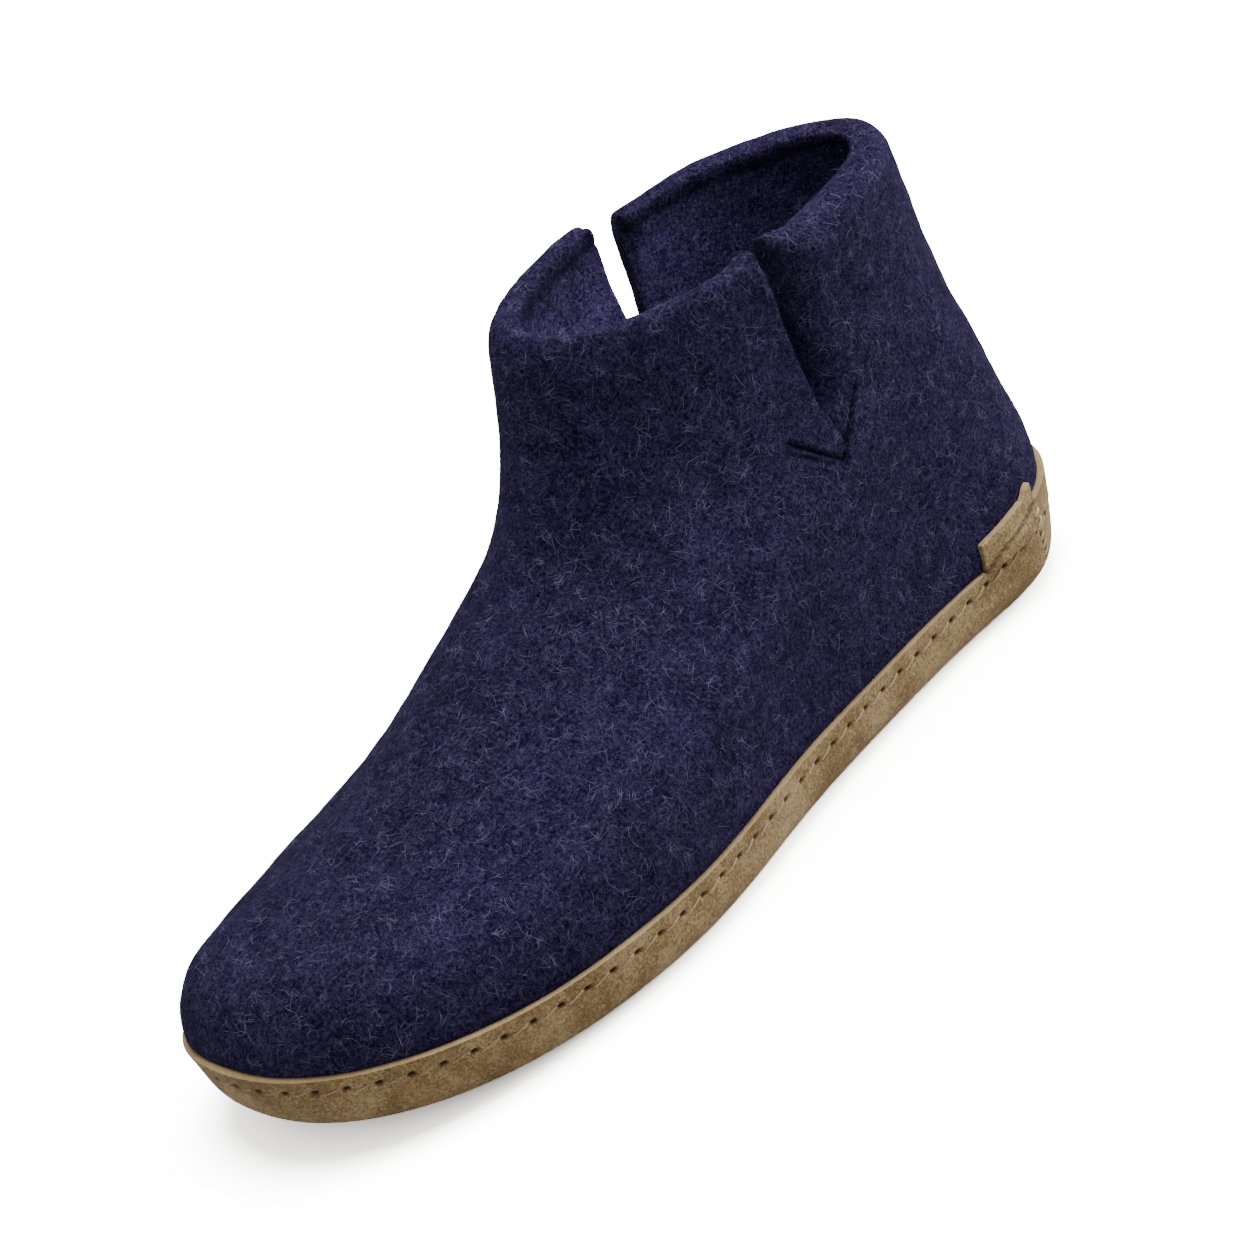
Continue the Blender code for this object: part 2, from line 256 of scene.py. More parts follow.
def curls(tree, place, scale, width, warp=1.2, detail=1.0):
    """Thin curly lines: 1 where the noise crosses its middle, 0 a little to each side."""
    value = noise_at(tree, place, scale, detail, warp)
    off = maths(tree, "ABSOLUTE", maths(tree, "SUBTRACT", value, 0.5))
    return spread(tree, off, 0.0, width, 1.0, 0.0)


# %% Felt nap group
nap, nap_in, nap_out = new_group(
    "felt nap",
    [("Place", "Vector", None), ("Deep", "Color", (0, 0, 0, 1)), ("Body", "Color", (0, 0, 0, 1)),
     ("Fibre", "Color", (1, 1, 1, 1)), ("Fibres", "Float", 1.0)],
    [("Color", "Color"), ("Height", "Float")])
place = nap_in.outputs["Place"]
first = curls(nap, moved(nap, place, (0.1, 0.6, 0.2), (1, 0.5, 0.8), (0.4, 0.2, 0.7)),
              900, 0.07, 1.6)
second = curls(nap, moved(nap, place, (0.3, 0.1, 0.2), (0.5, 1, 0.9), (0.6, 0.3, 1.1)),
               1150, 0.075, 1.3)
third = curls(nap, moved(nap, place, (0.5, 0.2, 0.7), (0.8, 0.9, 0.4), (1.0, 0.9, 0.3)),
              560, 0.035, 2.2)
bold = curls(nap, moved(nap, place, (0.7, 0.4, 0.5), turned=(1.2, 0.8, 0.2)), 330, 0.016, 2.6)
clump = noise_at(nap, place, 1100, 3.0, 0.6, 0.7)
patch = noise_at(nap, place, 150, 3.0, 0.8)
broad = noise_at(nap, place, 30, 2.0, 0.3)
mat = maths(nap, "MAXIMUM", maths(nap, "MULTIPLY", first, 0.7),
            maths(nap, "MAXIMUM", maths(nap, "MULTIPLY", second, 0.6), third))
mat = maths(nap, "MAXIMUM", mat, bold)
ground = spread(nap, maths(nap, "ADD", clump, maths(nap, "MULTIPLY", patch, 0.3)), 0.5, 0.82)
depth = maths(nap, "MULTIPLY_ADD", mat, 0.5, maths(nap, "MULTIPLY", ground, 0.5))
body = blend_colours(nap, spread(nap, broad, 0.35, 0.65),
                     nap_in.outputs["Body"], nap_in.outputs["Deep"])
body = blend_colours(nap, 0.65, body, nap_in.outputs["Body"])
shaded = blend_colours(nap, maths(nap, "MULTIPLY", depth, 1.5, clamp=True),
                       nap_in.outputs["Deep"], body)
light = maths(nap, "MULTIPLY", maths(nap, "MULTIPLY", mat, ground),
              nap_in.outputs["Fibres"], clamp=True)
nap.links.new(blend_colours(nap, light, shaded, nap_in.outputs["Fibre"]), nap_out.inputs["Color"])
nap.links.new(depth, nap_out.inputs["Height"])
print("felt nap nodes:", len(nap.nodes))

# %% Suede grain group
grain, grain_in, grain_out = new_group(
    "suede grain",
    [("Place", "Vector", None), ("Dark", "Color", (0, 0, 0, 1)), ("Body", "Color", (0, 0, 0, 1)),
     ("Pale", "Color", (1, 1, 1, 1))],
    [("Color", "Color"), ("Height", "Float")])
place = grain_in.outputs["Place"]
worms = noise_at(grain, place, 620, 2.0, 2.2, 0.6)
nub = noise_at(grain, moved(grain, place, (0.2, 0.5, 0.1)), 1500, 2.0, 0.5)
cloud = noise_at(grain, place, 75, 3.0, 0.5)
mixed = maths(grain, "MULTIPLY_ADD", worms, 0.6, maths(grain, "MULTIPLY", nub, 0.4))
tone = maths(grain, "MULTIPLY_ADD", cloud, 0.45, mixed)
darker = spread(grain, tone, 0.58, 0.74)
paler = spread(grain, tone, 0.72, 0.88)
toned = blend_colours(grain, darker, grain_in.outputs["Dark"], grain_in.outputs["Body"])
grain.links.new(blend_colours(grain, paler, toned, grain_in.outputs["Pale"]),
                grain_out.inputs["Color"])
grain.links.new(mixed, grain_out.inputs["Height"])
print("suede grain nodes:", len(grain.nodes))

# %% [markdown]
# ## Felt
# The wool is dyed a dark indigo. Felt has no gloss, but its hairs stand out at the edges of the
# shape and light them, which is what a little of the shader's sheen is for. Two numbers painted
# on the points of the mesh steer the colour: painted shade darkens the stay-stitch grooves, the
# slit and the fold inside the rim, and painted light makes the inside of the shaft paler.

# %% Felt materials
NAP_HEIGHT = 0.35 * MM
# painted light: the inside of the shaft is painted up to this share paler, for the light from the
# open top
INSIDE_PAINTED_LIGHT = 2.6


def use_group(tree, group, values):
    """Places a group in a material and sets its named inputs."""
    node = tree.nodes.new("ShaderNodeGroup")
    node.node_tree = group
    for label, value in values.items():
        put(tree, node.inputs[label], value)
    return node


def surface_point(tree):
    return tree.nodes.new("ShaderNodeTexCoord").outputs["Object"]


def add_bump(tree, shader, height, distance, strength):
    node = tree.nodes.new("ShaderNodeBump")
    node.inputs["Distance"].default_value = distance
    node.inputs["Strength"].default_value = strength
    tree.links.new(height, node.inputs["Height"])
    tree.links.new(node.outputs["Normal"], shader.inputs["Normal"])


def painted(tree, name):
    """A number that is painted on the points of the mesh."""
    node = tree.nodes.new("ShaderNodeAttribute")
    node.attribute_name = name
    return node.outputs["Fac"]


def felt_material(name, deep, body, fibre, fibres, sheen):
    made, tree, shader = new_material(name)
    felt = use_group(tree, nap, {"Place": surface_point(tree), "Deep": deep, "Body": body,
                                 "Fibre": fibre, "Fibres": fibres})
    # painted light: the colour is made paler on the inside of the shaft
    paler = tree.nodes.new("ShaderNodeVectorMath")
    paler.operation = "SCALE"
    tree.links.new(felt.outputs["Color"], paler.inputs[0])
    put(tree, paler.inputs["Scale"],
        maths(tree, "MULTIPLY_ADD", painted(tree, "inner"), INSIDE_PAINTED_LIGHT, 1.0))
    # painted shade: grooves, slit edges and the rim fold blend towards this near black
    dark = blend_colours(tree, painted(tree, "painted_shade"), paler.outputs["Vector"],
                         colour(7, 5, 13))
    tree.links.new(dark, shader.inputs["Base Color"])
    shader.inputs["Roughness"].default_value = 0.95
    shader.inputs["Specular IOR Level"].default_value = 0.02
    shader.inputs["Sheen Weight"].default_value = sheen
    shader.inputs["Sheen Roughness"].default_value = 0.45
    shader.inputs["Sheen Tint"].default_value = colour(150, 146, 190)
    add_bump(tree, shader, felt.outputs["Height"], NAP_HEIGHT, 0.8)
    return made


indigo_felt = felt_material("indigo_felt", colour(5, 3, 14), colour(24, 16, 51),
                            colour(75, 67, 96), 0.85, 0.015)
footbed = felt_material("footbed_felt", colour(12, 9, 22), colour(30, 23, 50),
                        colour(56, 49, 78), 0.7, 0.02)
print("felt materials:", indigo_felt.name, footbed.name)

# %% [markdown]
# ## Suede
# The sole is a thin brushed suede in tan. Its band carries a running stitch, and the leather
# dips at each needle hole, where painted shade darkens it. That painted shade follows a mark
# painted on the points of the mesh, because the leather is pushed in at the same points.

# %% Suede materials


def suede_material(name, dark, body, pale):
    made, tree, shader = new_material(name)
    suede = use_group(tree, grain, {"Place": surface_point(tree), "Dark": dark, "Body": body,
                                    "Pale": pale})
    # painted shade: needle holes, the seam grooves and the tab's shaded edges blend towards this
    # dark brown
    with_painted_shade = blend_colours(tree, painted(tree, "painted_shade"), suede.outputs["Color"],
                          colour(30, 18, 8))
    edge = maths(tree, "MULTIPLY", painted(tree, "raw_edge"), 0.6)
    edged = blend_colours(tree, edge, with_painted_shade, pale)
    tree.links.new(edged, shader.inputs["Base Color"])
    shader.inputs["Roughness"].default_value = 0.85
    shader.inputs["Specular IOR Level"].default_value = 0.12
    shader.inputs["Sheen Weight"].default_value = 0.04
    shader.inputs["Sheen Roughness"].default_value = 0.5
    add_bump(tree, shader, suede.outputs["Height"], NAP_HEIGHT, 0.9)
    return made


tan_suede = suede_material("tan_suede", colour(91, 72, 41), colour(119, 98, 65),
                           colour(148, 128, 94))
tab_suede = suede_material("tab_suede", colour(96, 77, 46), colour(125, 104, 71),
                           colour(153, 133, 100))
print("suede materials:", tan_suede.name, tab_suede.name)

# %% [markdown]
# ## Copies to work on
# The frame's own solids never change, so each soft one is copied, and the copy is worked on and
# shown in its place. The solids are flat facets in loose triangles. The copy is welded, its
# triangles are paired back into the four-sided faces they were made from, and Subdivision
# Surface rounds it.

# %% Copy and round a node
WELD = 0.02 * MM
PAIRED = math.radians(60)       # the most that two paired triangles may bend or lean


def rounded_copy(node, name, rounds):
    made = add_object(name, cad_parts[node].data.copy())
    made.data.name = name
    made.data.materials.clear()
    make_active(made)
    if made.data.has_custom_normals:
        bpy.ops.mesh.customdata_custom_splitnormals_clear()
    bpy.ops.object.mode_set(mode="EDIT")
    bpy.ops.mesh.select_all(action="SELECT")
    bpy.ops.mesh.remove_doubles(threshold=WELD)
    bpy.ops.mesh.tris_convert_to_quads(face_threshold=PAIRED, shape_threshold=PAIRED)
    bpy.ops.object.mode_set(mode="OBJECT")
    if rounds:
        smooth = made.modifiers.new("round", "SUBSURF")
        smooth.levels = smooth.render_levels = rounds
        bpy.ops.object.modifier_apply(modifier=smooth.name)
    made.data.shade_smooth()
    return made


def points_and_normals(piece):
    count = len(piece.data.vertices)
    points = np.zeros(count * 3)
    normals = np.zeros(count * 3)
    piece.data.vertices.foreach_get("co", points)
    piece.data.vertex_normals.foreach_get("vector", normals)
    return points.reshape(-1, 3), normals.reshape(-1, 3)


def set_points(piece, points):
    piece.data.vertices.foreach_set("co", points.ravel())
    piece.data.update()


def mark_points(piece, name, values):
    """Paints a number on every point, which a material reads by its name."""
    made = piece.data.attributes.new(name, "FLOAT", "POINT")
    made.data.foreach_set("value", values)


def triangles(piece):
    return sum(len(face.vertices) - 2 for face in piece.data.polygons)


boot = rounded_copy("felt_upper", "felt_boot", 2)
print("felt boot:", triangles(boot), "triangles")

# %% [markdown]
# ## The collar
# The collar was shaped by hand while the felt was wet. Its rim rolls in over a round shoulder
# towards the ankle, most of all at the back and on the outer side, and is thicker than the wall
# below it. At the outer slit the rear flap curls in and the front flap stands a little proud and
# high. The points near the rim are moved by their depth below it and their way round the shaft,
# and faces there are cut finer first, so that the shoulder is round.

# %% Where a point lies on the collar


def cut_finer(piece, picked, cuts):
    """Subdivides the picked faces, as Edit mode's Subdivide does."""
    make_active(piece)
    bpy.ops.object.mode_set(mode="EDIT")
    bpy.ops.mesh.select_mode(type="FACE")
    bpy.ops.mesh.select_all(action="DESELECT")
    bpy.ops.object.mode_set(mode="OBJECT")
    piece.data.polygons.foreach_set("select", picked)
    bpy.ops.object.mode_set(mode="EDIT")
    bpy.ops.mesh.subdivide(number_cuts=cuts)
    bpy.ops.object.mode_set(mode="OBJECT")


def face_middles(piece):
    return np.array([face.center for face in piece.data.polygons])


def smooth_step(share):
    share = np.clip(share, 0.0, 1.0)
    return share * share * (3.0 - 2.0 * share)


SHAFT_MIDDLE = np.array((SIDE_X, HEEL_Y - 68 * MM))
RIM_ABOVE = 105 * MM        # all of the rim is higher than this
FINER_ABOVE = 103 * MM
RIM_STEPS = 18              # steps in half a turn


def round_the_shaft(points):
    """The way out from the shaft's middle, and the turn: 0 at the heel, a quarter at the side."""
    away = points[:, :2] - SHAFT_MIDDLE
    return away / np.linalg.norm(away, axis=1)[:, None], np.arctan2(away[:, 0], away[:, 1])


def rim_height(points, turns):
    """The height of the rim at each turn, measured on the points step by step."""
    high = points[:, 2] > RIM_ABOVE
    steps = np.round(turns * RIM_STEPS / math.pi).astype(int)
    filled = [k for k in range(-RIM_STEPS, RIM_STEPS + 1) if (high & (steps == k)).any()]
    tops = [points[high & (steps == k), 2].max() for k in filled]
    return np.interp(turns, np.array(filled) * math.pi / RIM_STEPS, tops)


cut_finer(boot, face_middles(boot)[:, 2] > FINER_ABOVE, 1)
print("felt boot:", triangles(boot), "triangles")

# %% Roll the rim and curl the flaps
SLIT_AT = 73 * MM               # from the heel
SLIT_FOOT = 79 * MM             # the height of its lower end
SLIT_HEIGHT = 47 * MM
SLIT_HALF_WIDTH = 4.5 * MM      # at the rim
SHAFT_ABOVE = 85 * MM
ROLL_IN, SHOULDER = 5.2 * MM, 7 * MM        # how far the outer skin rolls in, and from what depth
THICKER, THICKER_FROM = 5.6 * MM, 17 * MM   # the same for the inner skin
ROLLED_LEAST = 0.4                          # the share of all this at the front
ROLLED_MOST_AT = math.radians(40)           # the turn where it is whole
BACK_RISE, BACK_RISE_FROM = 1.8 * MM, 35 * MM
FLAP_REACH = 9 * MM
REAR_IN, REAR_BACK = 4.3 * MM, 1.2 * MM
FRONT_OUT, FRONT_AHEAD, FRONT_RISE, FRONT_RISE_FROM = 0.8 * MM, 3.3 * MM, 1.8 * MM, 14 * MM
FOOT_AHEAD, FOOT_REACH = 1.2 * MM, 6 * MM   # the slit's lower end lies a little nearer the toe


def at_slit(points):
    """How far up a slit each point lies, 0 to 1, and how far it is from the slit's edge."""
    climb = np.clip((points[:, 2] - SLIT_FOOT) / SLIT_HEIGHT, 0.0, 1.0)
    return climb, np.abs(HEEL_Y - points[:, 1] - SLIT_AT) - SLIT_HALF_WIDTH * climb


points, normals = points_and_normals(boot)
away, turns = round_the_shaft(points)
depth = np.maximum(rim_height(points, turns) - points[:, 2], 0.0)
outside = (normals[:, :2] * away).sum(axis=1) > 0
most = ROLLED_LEAST + (1.0 - ROLLED_LEAST) * np.clip(np.cos(turns - ROLLED_MOST_AT), 0.0, 1.0)
shoulder = np.clip(1.0 - depth / SHOULDER, 0.0, 1.0)
roll = ROLL_IN * (1.0 - np.sqrt(1.0 - shoulder**2))
thicker = THICKER * smooth_step(1.0 - depth / THICKER_FROM)
on_shaft = points[:, 2] > SHAFT_ABOVE
move = np.where(outside, roll, thicker) * most * on_shaft
points[:, :2] -= away * move[:, None]
at_back = np.clip(np.cos(turns), 0.0, 1.0) ** 2
points[:, 2] += BACK_RISE * at_back * smooth_step(1.0 - depth / BACK_RISE_FROM)

climb, from_edge = at_slit(points)
curl = np.clip(1.0 - from_edge / FLAP_REACH, 0.0, 1.0) ** 2 * smooth_step(climb * 8.0)
low_curl = curl * (1.0 - climb)
along = HEEL_Y - points[:, 1]
outer_side = points[:, 0] > SIDE_X
rear = outer_side & (along < SLIT_AT)
front = outer_side & (along > SLIT_AT)
points[rear, 0] -= REAR_IN * curl[rear]
points[rear, 1] += REAR_BACK * low_curl[rear]
points[front, 0] += FRONT_OUT * curl[front]
points[front, 1] -= FRONT_AHEAD * low_curl[front]
foot = np.array((0.0, HEEL_Y - SLIT_AT, SLIT_FOOT - 1 * MM))
off_foot = np.linalg.norm((points - foot)[:, 1:], axis=1)
points[:, 1] -= FOOT_AHEAD * np.exp(-(off_foot / FOOT_REACH) ** 2) * outer_side
points[front, 2] += FRONT_RISE * curl[front] * smooth_step(1.0 - depth[front] / FRONT_RISE_FROM)
set_points(boot, points)
print("rim moved in, mm:", round(move.max() / MM, 2))

# %% [markdown]
# ## The felt boot
# Wet felt is never quite even: the wall swells and thins over a few centimetres, the rim waves a
# little, and the surface is knobbly at the size of a pea. Each point moves along its normal by a
# smooth noise of each size, and a few listed bulges and hollows are placed. Just over the sole's
# band the felt bulges out a little, because the stitches pull it in below. Under each slit a V of
# stay stitches is pulled tight into a groove. The felt is cut finer there first, so that the
# groove has points to move.

# %% Where the stay stitches run
BESIDE = 90 * MM            # well outside the boot


def at_side(along, height, side):
    """A point out beyond the boot's side, at a distance from the heel and a height, in mm."""
    return Vector((SIDE_X + side * BESIDE, HEEL_Y - along * MM, height * MM))


# each V as (distance from the heel, height): front end, point of the V, rear end; then the
# second row of stitches beside its front arm. The inner side's V lies nearer the toe.
V_STITCH = ((89.3, 81.9), (76.6, 69.8), (63.5, 82.9))
FRONT_ARM = ((91.0, 80.4), (79.6, 70.2))
INNER_AHEAD = 2.5


def tree_of(piece):
    points, _ = points_and_normals(piece)
    faces = [tuple(face.vertices) for face in piece.data.polygons]
    return BVHTree.FromPolygons([Vector(p) for p in points], faces)


def onto_side(tree, along, height, side):
    hit, normal, _, _ = tree.ray_cast(at_side(along, height, side), Vector((-side, 0, 0)))
    return hit, normal


def line_on_side(tree, corners, side, ahead=0.0, steps=24):
    """Points along a line of corners, laid on the boot's side."""
    found = []
    for (along, height), (next_along, next_height) in zip(corners, corners[1:]):
        for i in range(steps):
            share = i / steps
            found.append(onto_side(tree, along + (next_along - along) * share + ahead,
                                   height + (next_height - height) * share, side)[0])
    return np.array(found)


boot_tree = tree_of(boot)
stay_lines = [(line_on_side(boot_tree, corners, side, ahead), strength)
              for side, ahead in ((1, 0.0), (-1, INNER_AHEAD))
              for corners, strength in ((V_STITCH, 0.95), (FRONT_ARM, 0.5))]
print("stay stitch rows:", [len(line) for line, _ in stay_lines])

# %% Finer faces round the stay stitches
for reach in (5 * MM, 3 * MM):
    middles = face_middles(boot)
    near = np.zeros(len(middles), bool)
    for line, _ in stay_lines:
        for point in line:
            near |= np.linalg.norm(middles - point, axis=1) < reach
    cut_finer(boot, near, 1)
    print("cut finer:", int(near.sum()), "faces, now", triangles(boot), "triangles")

# %% Where a point lies on the boot
BAND_HEIGHT = 17 * MM
COUNTER_HEIGHT, COUNTER_TO = 22.8 * MM, 22.5 * MM
TOE_SPRING, SPRING_FROM, SPRING_RUN = 8 * MM, 200 * MM, 80 * MM
HEEL_ROLL, HEEL_ROLL_RUN = 2 * MM, 28 * MM
ABOVE_FOOT = 72 * MM        # higher than this, the skin looks away from the shaft's middle
FOOT_FROM, FOOT_TO, FOOT_HEIGHT = 60 * MM, 235 * MM, 30 * MM    # a line inside the foot


def distance_to(points, line):
    best = np.full(len(points), 1.0)
    for point in line:
        best = np.minimum(best, np.linalg.norm(points - point, axis=1))
    return best


def waves(points, size, seed):
    """Smooth noise, about -1 to 1, whose lumps are of this size."""
    shift = Vector((seed * 7.3, seed * 3.1, seed * 5.7))
    return np.array([noise.noise(Vector(p) / size + shift) for p in points])


def lift(y):
    """How far the sole stands off the floor: sprung at the toe, rolled at the heel."""
    along = HEEL_Y - y
    toe = np.clip((along - SPRING_FROM) / SPRING_RUN, 0.0, None)
    heel = np.clip((HEEL_ROLL_RUN - along) / HEEL_ROLL_RUN, 0.0, None)
    return TOE_SPRING * toe**2 + HEEL_ROLL * heel**2


def band_top(y):
    """The height of the sole's band above its underside: higher round the heel."""
    return np.where(HEEL_Y - y < COUNTER_TO, COUNTER_HEIGHT, BAND_HEIGHT)


def on_outer_skin(points, normals):
    """True where the felt looks away from the line inside the foot, or the shaft's middle."""
    line_y = np.clip(points[:, 1], HEEL_Y - FOOT_TO, HEEL_Y - FOOT_FROM)
    outward = points - np.stack((np.full(len(points), SIDE_X), line_y,
                                 np.full(len(points), FOOT_HEIGHT)), axis=1)
    shaft = points[:, 2] > ABOVE_FOOT
    away, _ = round_the_shaft(points[shaft])
    outward[shaft] = np.concatenate((away, np.zeros((len(away), 1))), axis=1)
    return (normals * outward).sum(axis=1) > 0


print("band height at the heel and the toe, mm:",
      [round(float(band_top(end)) / MM, 1) for end in (HEEL_Y, -HEEL_Y)])

# %% Push the felt
# each noise of the wall as how far it stands out and how long its waves are, in mm, and its seed
FELT_WAVES = ((0.65, 45, 1), (0.25, 15, 2), (0.2, 5, 3))
FULLER = 0.6 * MM           # the outer skin stands out by this all over
EVEN_TO, EVEN_FADE = 16 * MM, 12 * MM       # the wall is even where the sole holds it
BULGE, BULGE_LOW, BULGE_HIGH = 1.3 * MM, 1.5 * MM, 13 * MM      # over the band's edge
BULGE_FROM, BULGE_RUN = 24 * MM, 20 * MM
STAY_DEPTH, STAY_WIDTH = 1.25 * MM, 0.65 * MM
SLIT_SHADE_FROM, SLIT_SHADE_RUN = 1.2 * MM, 3.2 * MM
FOLD_AT, FOLD_WIDTH, FOLD_DEPTH = 4.8 * MM, 0.9 * MM, 0.45 * MM     # the line inside the rim
RIM_WAVE, RIM_WAVE_LENGTH = 0.9 * MM, 24 * MM
# bulges and hollows: across from the middle line, along from the heel, height, reach and how
# far they stand out, in mm
SWELLS = (
    (-15, 157, 76, 15, 1.5),
    (-20, 175, 65, 14, 1.0),
    (-21, 262, 40, 12, 1.2),
    (-16, 270, 38, 10, 0.8),
    (-10, 129, 129, 12, 1.0),
    (28, 99, 91, 9, 1.0),
    (15, 143, 86, 9, -1.1),
)
points, normals = points_and_normals(boot)
_, turns = round_the_shaft(points)
outside = on_outer_skin(points, normals)
push = FULLER * outside
for stand, size, seed in FELT_WAVES:
    push += stand * MM * waves(points, size * MM, seed)
for across, along, height, reach, out in SWELLS:
    place = np.array((SIDE_X + across * MM, HEEL_Y - along * MM, height * MM))
    near = np.linalg.norm(points - place, axis=1) / (reach * MM)
    push += out * MM * np.exp(-near**2) * outside
push *= np.clip((points[:, 2] - EVEN_TO) / EVEN_FADE, 0.0, 1.0)
above_band = points[:, 2] - lift(points[:, 1]) - band_top(points[:, 1])
over_band = smooth_step((above_band + BULGE_LOW) / (2 * BULGE_LOW))
over_band *= smooth_step(1.0 - above_band / BULGE_HIGH)
past_heel = smooth_step((HEEL_Y - points[:, 1] - BULGE_FROM) / BULGE_RUN)
push += BULGE * over_band * past_heel * outside

# painted shade: the stay-stitch grooves, the slit's edges and the fold inside the rim are painted
# darker
painted_shade = np.zeros(len(points))
for line, strength in stay_lines:
    groove = strength * np.exp(-(distance_to(points, line) / STAY_WIDTH) ** 2)
    push -= STAY_DEPTH * groove
    painted_shade = np.maximum(painted_shade, 0.95 * groove)
# painted shade on the slit's faces that look towards the toe
climb, off_slit = at_slit(points)
in_slit = smooth_step(1.0 - (off_slit - SLIT_SHADE_FROM) / SLIT_SHADE_RUN) * smooth_step(climb * 12)
in_slit *= (points[:, 0] > SIDE_X) & ((normals[:, 1] < -0.25) | (np.abs(normals[:, 1]) > 0.7))
painted_shade = np.maximum(painted_shade, 0.25 * in_slit)
below_rim = rim_height(points, turns) - points[:, 2]
far_inside = ~outside & (points[:, 0] < SIDE_X) & (points[:, 2] > 90 * MM)
off_fold = below_rim - FOLD_AT + 0.6 * MM * waves(points, 20 * MM, 12)
fold = np.exp(-(off_fold / FOLD_WIDTH) ** 2) * far_inside
push -= FOLD_DEPTH * fold
painted_shade = np.maximum(painted_shade, 0.15 * fold)

rise = waves(points, RIM_WAVE_LENGTH, 7) * smooth_step((points[:, 2] - 95 * MM) / (25 * MM))
points = points + normals * push[:, None]
points[:, 2] += RIM_WAVE * rise
set_points(boot, points)
mark_points(boot, "painted_shade", painted_shade)
# painted light: the inside of the shaft below the rim is painted paler, for the light from the open
# top
painted_light_inside = ~outside * smooth_step((points[:, 2] - 60 * MM) / (20 * MM))
mark_points(boot, "inner", painted_light_inside * smooth_step((below_rim - 3 * MM) / (9 * MM)))
boot.data.materials.append(indigo_felt)
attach(boot, "root")
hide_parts("felt_upper")
print("felt moved, mm:", round(push.min() / MM, 2), "to", round(push.max() / MM, 2))

# %% [markdown]
# ## The suede sole
# One piece of suede is blocked up round the felt and stitched to it. Its outside wall is cut
# finer in a strip along the stitches, and every needle hole is pressed in there. The stitches
# lie at one depth below the band's top edge, so a helper finds the band's skin at any turn
# round the boot and any depth. Round the heel the band is higher, a counter that is joined to
# the rest by a whip-stitched seam on each side.

# %% Round copy of the sole
STITCH_DEPTH = 3.7 * MM     # from the band's top edge to the stitches
STITCH_PITCH = 7.7 * MM
STITCH_CLIMB, CLIMB_FROM, CLIMB_RUN = 2.0 * MM, 62 * MM, 38 * MM
TURN_STEPS = 1440           # steps in which the band's length is measured
FAR_OUT = 0.4               # the rays start this far from the middle line

sole = rounded_copy("leather_sole", "suede_sole", 2)


def stitch_rise(y):
    """The stitches climb a little towards the heel counter."""
    return STITCH_CLIMB * smooth_step((CLIMB_FROM - (HEEL_Y - y)) / CLIMB_RUN)


sole_tree = tree_of(sole)


def band_point(turn, depth):
    """The band's outer skin at a turn about the foot's middle, below the top edge."""
    out = Vector((math.sin(turn), math.cos(turn), 0))
    y = 0.0
    for _ in range(4):      # the height depends on where the ray lands, so it is aimed again
        height = BAND_HEIGHT - depth + float(lift(y) + stitch_rise(y))
        start = Vector((SIDE_X, 0, height)) + out * FAR_OUT
        hit, normal, _, _ = sole_tree.ray_cast(start, -out)
        y = hit.y
    return hit, normal


def round_the_band(depth, pitch):
    """Points and normals round the band, one pitch apart, from the heel round to the heel."""
    turns = np.linspace(0.0, 2.0 * math.pi, TURN_STEPS + 1)
    found = [band_point(turn, depth) for turn in turns]
    path = np.array([hit for hit, _ in found])
    run = np.concatenate(([0.0], np.cumsum(np.linalg.norm(np.diff(path, axis=0), axis=1))))
    count = round(run[-1] / pitch)
    marks = np.interp(np.arange(count) / count * run[-1], run, turns)
    return [band_point(turn, depth) for turn in marks], run[-1]


holes, way_round = round_the_band(STITCH_DEPTH, STITCH_PITCH)
print("needle holes:", len(holes), "way round, mm:", round(way_round / MM))

# %% Finer faces along the stitches and the seams
SEAM_AT = 21.4 * MM         # the heel seam, from the heel
SEAM_FOOT = 4 * MM          # the height where it ends
BESIDE_STITCH, BESIDE_SEAM = 2.6 * MM, 3.5 * MM     # how far the finer faces reach
BAND_MIDDLE = np.array((SIDE_X, 0.0, 0.0))
MIDDLE_REACH = 90 * MM      # the middle of the foot is a line this long to each end


def off_the_sole(points):
    """How far each point lies above the sole's underside."""
    return points[:, 2] - lift(points[:, 1])


def faces_outward(points, facing):
    """True where the skin looks away from the middle of the foot."""
    outward = points - BAND_MIDDLE
    beyond = np.clip(np.abs(points[:, 1]) - MIDDLE_REACH, 0, None)
    outward[:, 1] = np.sign(points[:, 1]) * beyond
    return ((facing[:, :2] * outward[:, :2]).sum(axis=1) > 0) & (np.abs(facing[:, 2]) < 0.5)


middles = face_middles(sole)
facing = np.array([face.normal for face in sole.data.polygons])
wall = faces_outward(middles, facing)
stitch_height = BAND_HEIGHT - STITCH_DEPTH + stitch_rise(middles[:, 1])
strip = wall & (np.abs(off_the_sole(middles) - stitch_height) < BESIDE_STITCH)
seam = wall & (np.abs(HEEL_Y - middles[:, 1] - SEAM_AT) < BESIDE_SEAM)
seam &= middles[:, 2] > SEAM_FOOT
cut_finer(sole, strip | seam, 4)
print("strip:", int((strip | seam).sum()), "faces; suede sole:", triangles(sole), "triangles")

# %% Press the needle holes and the seams
CORNER_AHEAD, CORNER_FROM, CORNER_RUN, CORNER_TO = 2.4 * MM, 8 * MM, 12 * MM, 23 * MM
CORNER_ABOVE = 15.5 * MM
TOE_CORNER, CORNER_OUT, CORNER_REACH = (-24, 272, 14), 1.2 * MM, 16 * MM
HOLE_DEPTH, HOLE_LONG, HOLE_HIGH = 0.9 * MM, 0.95 * MM, 0.55 * MM
DIP_DEPTH, DIP_LONG, DIP_HIGH = 0.22 * MM, 2.2 * MM, 1.5 * MM       # the suede round a hole
HOLE_REACH = 5 * MM
GROOVE_DEPTH, GROOVE_WIDTH = 0.6 * MM, 0.6 * MM

